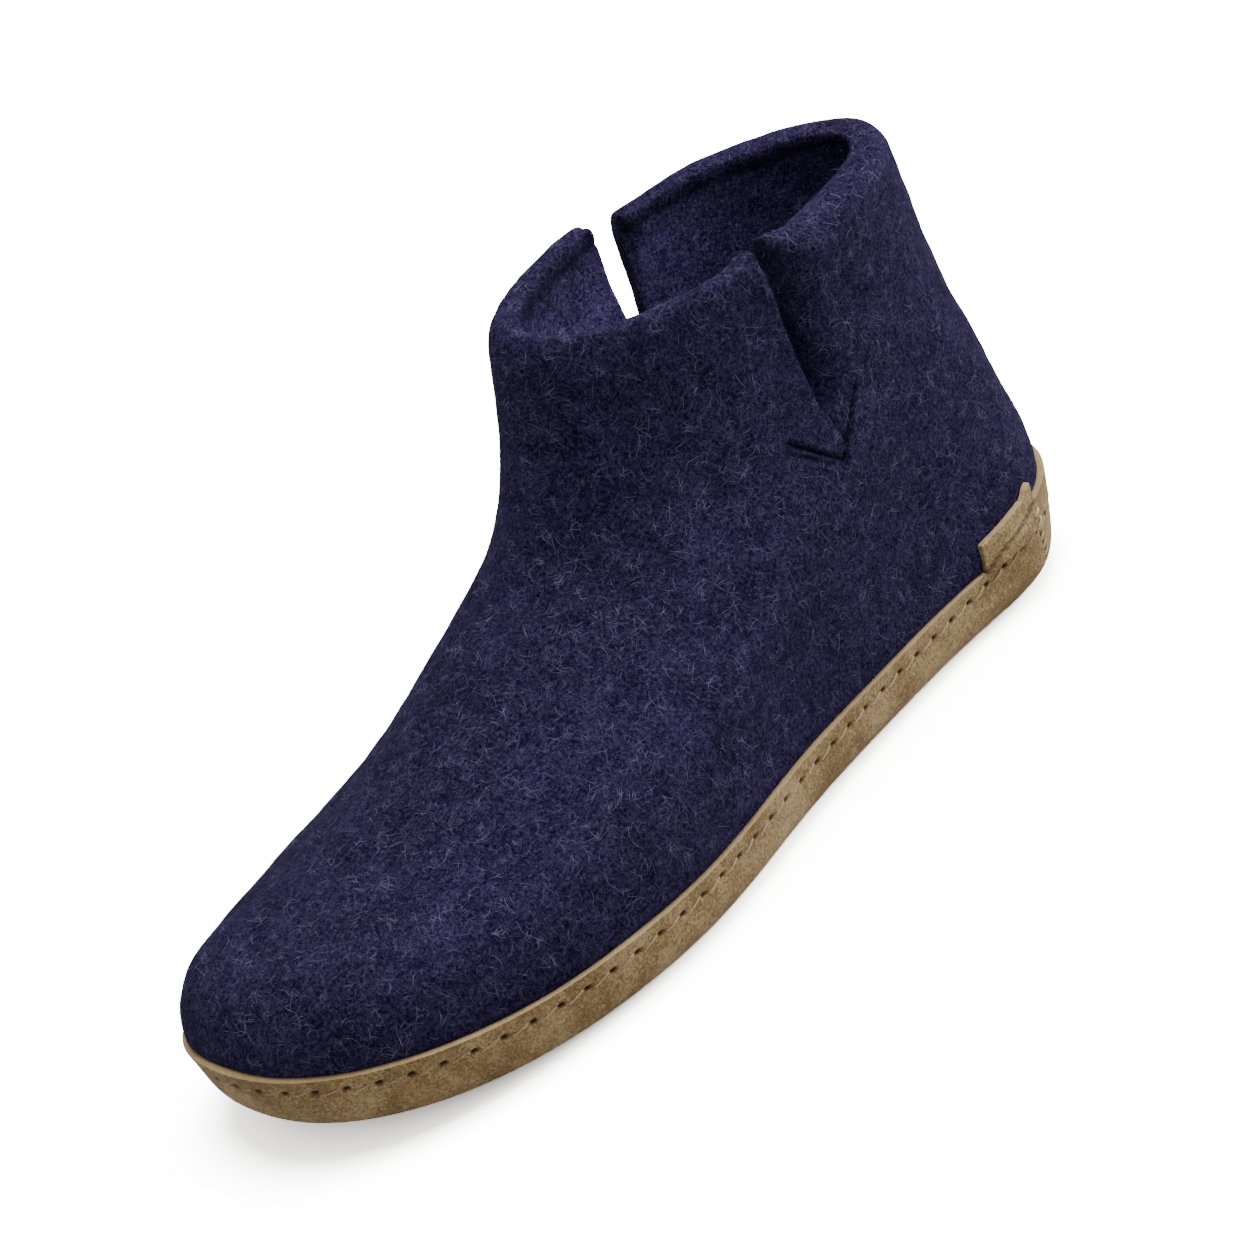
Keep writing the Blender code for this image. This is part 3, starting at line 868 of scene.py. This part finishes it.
points, normals = points_and_normals(sole)
along = HEEL_Y - points[:, 1]
forward = CORNER_AHEAD * smooth_step((along - CORNER_FROM) / CORNER_RUN) * (along < CORNER_TO)
forward *= smooth_step((off_the_sole(points) - CORNER_ABOVE) / (1.8 * MM))
points[:, 1] -= forward
points[:, 0] += 0.3 * forward * np.sign(points[:, 0] - SIDE_X)
push = 0.12 * MM * waves(points, 12 * MM, 4) + 0.3 * MM * waves(points, 40 * MM, 5)
height = off_the_sole(points)
across, ahead, up = TOE_CORNER
toe_corner = np.array((SIDE_X + across * MM, HEEL_Y - ahead * MM, up * MM))
off_corner = np.linalg.norm(points - toe_corner, axis=1)
push += CORNER_OUT * np.exp(-(off_corner / CORNER_REACH) ** 2)
push *= np.clip(height / (8 * MM), 0.0, 1.0)

painted_shade = np.zeros(len(points))
for hit, normal in holes:
    along_band = normal.cross(Vector((0, 0, 1))).normalized()
    near = np.linalg.norm(points - np.array(hit), axis=1) < HOLE_REACH
    offset = points[near] - np.array(hit)
    run = offset @ np.array(along_band)
    rise = offset[:, 2]
    dip = np.exp(-(run / DIP_LONG) ** 2 - (rise / DIP_HIGH) ** 2)
    hole = np.exp(-(run / HOLE_LONG) ** 4 - (rise / HOLE_HIGH) ** 4)
    push[near] -= DIP_DEPTH * dip + HOLE_DEPTH * hole
    # painted shade: the hole is painted dark
    painted_shade[near] = np.maximum(painted_shade[near], np.clip(hole * 1.4, 0, 0.95))

wall = faces_outward(points, normals) & (height > SEAM_FOOT)
seam_at = SEAM_AT + 0.15 * (height - 8 * MM) + 0.4 * MM * waves(points, 6 * MM, 8)
off_seam = np.abs(HEEL_Y - points[:, 1] - seam_at)
groove = np.exp(-(off_seam / GROOVE_WIDTH) ** 2) * wall
push -= GROOVE_DEPTH * groove
# painted shade along the seam groove
painted_shade = np.maximum(painted_shade, 0.4 * groove)
raw = smooth_step((normals[:, 2] - 0.3) / 0.5) * (height > BAND_HEIGHT - 1.2 * MM)
set_points(sole, points + normals * push[:, None])
mark_points(sole, "painted_shade", painted_shade)
mark_points(sole, "raw_edge", raw)
sole.data.materials.append(tan_suede)
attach(sole, "root")
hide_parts("leather_sole")
print("suede moved, mm:", round(push.min() / MM, 2), "to", round(push.max() / MM, 2))

# %% [markdown]
# ## Insole and tab
# The loose footbed is a flat pad of pressed felt with soft edges. The heel tab is a small flap
# of suede that stands up from behind the band's edge, which climbs across it to the counter's
# height. Its rear tip is worn ragged and its face rubbed.

# %% Insole
insole = rounded_copy("felt_insole", "felt_footbed", 2)
points, normals = points_and_normals(insole)
set_points(insole, points + normals * (0.25 * MM * waves(points, 18 * MM, 6))[:, None])
mark_points(insole, "painted_shade", np.zeros(len(points)))
insole.data.materials.append(footbed)
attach(insole, "root")
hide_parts("felt_insole")
print("insole:", triangles(insole), "triangles")

# %% Heel tab
TAB_FRONT = 44.6 * MM                               # from the heel
TAB_ROUND, TAB_SHIFT = 0.35 * MM, np.array((0.4 * MM, -1.3 * MM, 0.0))
TORN_TO, TORN_ABOVE, TORN = 26 * MM, 21 * MM, 0.3 * MM      # the worn rear tip
NICK_AT, NICK_WIDTH, NICK_DEPTH = 25.4 * MM, 0.5 * MM, 0.35 * MM
TIP_FROM, TIP_RUN, TIP_ABOVE, TIP_RISE = 24.5 * MM, 2.5 * MM, 25 * MM, 0.9 * MM
EDGE_HEIGHT, EDGE_CLIMB, EDGE_RUN = 17.3 * MM, 5.4 * MM, 23 * MM    # the band's edge across it
EDGE_OUT, EDGE_SHADE = 0.8 * MM, 0.45 * MM

tab = rounded_copy("heel_tab", "suede_tab", 0)
edges = tab.modifiers.new("edges", "BEVEL")
edges.width = TAB_ROUND
edges.segments = 2
edges.limit_method = "ANGLE"
edges.angle_limit = math.radians(50)
bpy.ops.object.modifier_apply(modifier=edges.name)
cut_finer(tab, np.ones(len(tab.data.polygons), bool), 5)
points, normals = points_and_normals(tab)
along = HEEL_Y - points[:, 1]
height = off_the_sole(points)
torn = smooth_step((TORN_TO - along) / (4 * MM)) * smooth_step((height - TORN_ABOVE) / (6 * MM))
points += (TORN * waves(points, 2.2 * MM, 9) * torn)[:, None] * np.array((0.3, 1.0, 0.8))
nick = np.exp(-((along - NICK_AT) / NICK_WIDTH) ** 2) * smooth_step((height - 24.5 * MM) / (2 * MM))
points[:, 2] -= NICK_DEPTH * nick
points[:, 2] += TIP_RISE * smooth_step((TIP_FROM - along) / TIP_RUN) * (height > TIP_ABOVE)
points += normals * (0.18 * MM * waves(points, 5 * MM, 10))[:, None]
band_edge = EDGE_HEIGHT + EDGE_CLIMB * (TAB_FRONT - along) / EDGE_RUN
below_edge = smooth_step((band_edge - height) / (0.5 * MM))
points += normals * (EDGE_OUT * below_edge)[:, None]
points[height < 17.7 * MM, 2] -= 0.5 * MM       # the tab's foot goes down behind the band
points += TAB_SHIFT
set_points(tab, points)
# painted shade under the band's edge where it crosses the tab, and on the tab's front end
under_edge = np.exp(-((height - band_edge - 0.25 * MM) / EDGE_SHADE) ** 2)
front_end = smooth_step((along - TAB_FRONT + 0.7 * MM) / (0.5 * MM))
mark_points(tab, "painted_shade", np.maximum(0.55 * front_end, 0.8 * under_edge))
mark_points(tab, "raw_edge", smooth_step((normals[:, 2] - 0.4) / 0.4))
tab.data.materials.append(tab_suede)
tab.data.shade_smooth()
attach(tab, "root")
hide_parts("heel_tab")
print("tab:", triangles(tab), "triangles")

# %% [markdown]
# ## Threads
# The running stitch is a thin tan thread. Between two holes it floats in a shallow curve on the
# suede, and it dives into each hole. A thread is a thin tube laid along a few points, and all
# of them are made as one mesh from lists of points and faces, because there are dozens.

# %% Tubes along lines


def tube_mesh(name, lines, radius, sides=6):
    """One mesh of many tubes; each line is a list of points, thinning at its two ends."""
    vertices, faces = [], []
    for line in lines:
        line = np.asarray(line, float)
        runs = np.gradient(line, axis=0)
        runs /= np.linalg.norm(runs, axis=1)[:, None]
        start = len(vertices)
        side = np.cross(runs[0], (0.31, 0.52, 0.79))
        for i, (point, run) in enumerate(zip(line, runs)):
            side = side - run * (side @ run)
            side /= np.linalg.norm(side)
            other = np.cross(run, side)
            thick = radius * (0.6 if i in (0, len(line) - 1) else 1.0)
            for k in range(sides):
                turn = 2 * math.pi * k / sides
                vertices.append(point + thick * (math.cos(turn) * side + math.sin(turn) * other))
        for i in range(len(line) - 1):
            for k in range(sides):
                j = (k + 1) % sides
                low, high = start + i * sides, start + (i + 1) * sides
                faces.append((low + k, low + j, high + j, high + k))
        faces.append(tuple(start + k for k in reversed(range(sides))))
        faces.append(tuple(start + (len(line) - 1) * sides + k for k in range(sides)))
    mesh = bpy.data.meshes.new(name)
    mesh.from_pydata([tuple(v) for v in vertices], [], faces)
    mesh.shade_smooth()
    return add_object(name, mesh)


def thread_material(name, dark, pale):
    made, tree, shader = new_material(name)
    strands = noise_at(tree, surface_point(tree), 2600, 2.0, 1.0)
    tree.links.new(blend_colours(tree, spread(tree, strands, 0.35, 0.65), dark, pale),
                   shader.inputs["Base Color"])
    shader.inputs["Roughness"].default_value = 0.7
    add_bump(tree, shader, strands, 0.1 * MM, 0.5)
    return made


tan_thread = thread_material("tan_thread", colour(112, 92, 60), colour(162, 141, 108))
cream_thread = thread_material("cream_thread", colour(132, 112, 80), colour(182, 163, 129))
# along the way from one hole to the next: the share of it, and how far out and up, in mm
FLOAT = ((0.14, -0.8, 0.2), (0.2, -0.1, 0.4), (0.3, 0.12, 0.3), (0.45, 0.14, -0.1),
         (0.6, 0.06, -0.5), (0.74, -0.12, -0.8), (0.82, -0.5, -0.9))
THREAD = 0.24 * MM
lines = []
for (hit, normal), (next_hit, next_normal) in zip(holes, holes[1:] + holes[:1]):
    hit, next_hit = np.array(hit), np.array(next_hit)
    normal = np.array((normal + next_normal).normalized())
    lines.append([hit + (next_hit - hit) * share + normal * out * MM + np.array((0, 0, up * MM))
                  for share, out, up in FLOAT])
stitches = tube_mesh("running_stitch", lines, THREAD)
stitches.data.materials.append(tan_thread)
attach(stitches, "root")
print("running stitch:", len(lines), "floats,", triangles(stitches), "triangles")

# %% Whip stitches on the heel seams
# the middle of each stroke as (distance from the heel, height), from the top down
WHIP_STITCHES = ((23.3, 20.9), (23.0, 18.0), (22.6, 15.2), (22.2, 12.6), (21.8, 10.1),
                 (21.5, 7.7))
# one stroke: the share of its half length, and how far out of the skin, in mm
STROKE = ((-1.0, -0.5), (-0.75, 0.15), (-0.3, 0.32), (0.3, 0.32), (0.75, 0.15), (1.0, -0.5))
HALF_AHEAD, HALF_DOWN = 1.2, 0.7        # mm
WHIP_THREAD = 0.34 * MM
skins = [tree_of(piece) for piece in (sole, boot, tab)]


def outermost(along, height, side):
    """The first skin that a ray from the side meets, of the sole, the felt or the tab."""
    hits = [onto_side(tree, along, height, side) for tree in skins]
    hits = [hit for hit in hits if hit[0] is not None]
    return max(hits, key=lambda hit: side * hit[0].x)


lines = []
for side in (1, -1):
    for along, height in WHIP_STITCHES:
        line = []
        for share, out in STROKE:
            hit, normal = outermost(along + HALF_AHEAD * share, height - HALF_DOWN * share, side)
            line.append(np.array(hit) + np.array(normal) * out * MM)
        lines.append(line)
whips = tube_mesh("heel_seam_stitches", lines, WHIP_THREAD)
whips.data.materials.append(cream_thread)
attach(whips, "root")
print("heel seams:", len(lines), "strokes,", triangles(whips), "triangles")

# %% [markdown]
# ## Loose hairs
# Pale hairs lie curled on the felt and a few stand off it. Each is a
# thin ribbon of five pieces. A point is picked on the felt, a direction in its plane, and each
# next point is pulled back onto the felt and lifted a little.

# %% Where the hairs take root
HAIRS, HAIR_PIECES, HAIR_WIDTH = 18000, 5, 0.1 * MM
SHORTEST, LONGEST, CURLED = 2.5 * MM, 7.5 * MM, 0.4
LIFTED = 0.25 * MM                                          # how loose most of them lie
STANDING, STAND_LEAST, STAND_MOST = 0.07, 0.8 * MM, 2.6 * MM    # the few that stand off
BARE_BELOW, BARE_BY_STAYS = 22 * MM, 1.6 * MM
chance = np.random.default_rng(11)
boot_tree = tree_of(boot)
boot.data.calc_loop_triangles()
corners = np.zeros(len(boot.data.loop_triangles) * 3, int)
boot.data.loop_triangles.foreach_get("vertices", corners)
corners = corners.reshape(-1, 3)
points, normals = points_and_normals(boot)
a, b, c = (points[corners[:, k]] for k in range(3))
areas = np.linalg.norm(np.cross(b - a, c - a), axis=1) / 2
middles = points[corners].mean(axis=1)
off_stays = np.min([distance_to(middles, line) for line, _ in stay_lines], axis=0)
weights = areas * (middles[:, 2] > BARE_BELOW) * (off_stays > BARE_BY_STAYS)
picked = chance.choice(len(corners), HAIRS, p=weights / weights.sum())
shares = chance.dirichlet((1, 1, 1), HAIRS)
roots = (points[corners[picked]] * shares[:, :, None]).sum(axis=1)
root_normals = normals[corners[picked]].mean(axis=1)
print("hairs to draw:", len(roots), "on", len(corners), "triangles of felt")

# %% Draw the hairs


def hair_ribbons(roots, root_normals, lengths, curl, lifts, width):
    """Points and faces of all hairs; each runs on from its root over the felt."""
    vertices, faces = [], []
    for root, normal, length, bend, rise in zip(roots, root_normals, lengths, curl, lifts):
        normal = normal / np.linalg.norm(normal)
        run = chance.normal(size=3)
        run -= normal * (run @ normal)
        run /= np.linalg.norm(run)
        point = root - normal * 0.05 * MM
        start = len(vertices)
        for i in range(HAIR_PIECES + 1):
            side = np.cross(normal, run)
            thin = width * (1.0 if i < HAIR_PIECES else 0.4) / 2
            vertices += [tuple(point + side * thin), tuple(point - side * thin)]
            if i:
                low = start + 2 * (i - 1)
                faces.append((low + 1, low, low + 2, low + 3))
            angle = 0.6 * bend + 0.32 * chance.normal()
            run = math.cos(angle) * run + math.sin(angle) * side
            ahead = Vector(point + run * length / HAIR_PIECES)
            near, found, _, _ = boot_tree.find_nearest(ahead)
            normal = np.array(found)
            run -= normal * (run @ normal)
            run /= np.linalg.norm(run)
            share = (i + 1) / HAIR_PIECES
            point = np.array(near) + normal * (0.1 * MM + rise * share * share)
    return vertices, faces


stand = np.abs(chance.normal(0, LIFTED, HAIRS))
stand += np.where(chance.random(HAIRS) < STANDING,
                  chance.uniform(STAND_LEAST, STAND_MOST, HAIRS), 0.0)
vertices, faces = hair_ribbons(
    roots, root_normals, chance.uniform(SHORTEST, LONGEST, HAIRS),
    chance.normal(0, CURLED, HAIRS), stand, HAIR_WIDTH)
hair_mesh = bpy.data.meshes.new("loose_hairs")
hair_mesh.from_pydata(vertices, [], faces)
hair_mesh.shade_smooth()
hairs = add_object("loose_hairs", hair_mesh)
hair_wool, hair_tree, hair_shader = new_material("hair_wool")
tint = noise_at(hair_tree, surface_point(hair_tree), 300, 1.0)
hair_tree.links.new(blend_colours(hair_tree, spread(hair_tree, tint, 0.42, 0.7),
                                  colour(36, 29, 57), colour(90, 82, 110)),
                    hair_shader.inputs["Base Color"])
hair_shader.inputs["Roughness"].default_value = 0.8
hair_shader.inputs["Specular IOR Level"].default_value = 0.05
hairs.data.materials.append(hair_wool)
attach(hairs, "root")
print("loose hairs:", HAIRS, "of", triangles(hairs), "triangles")
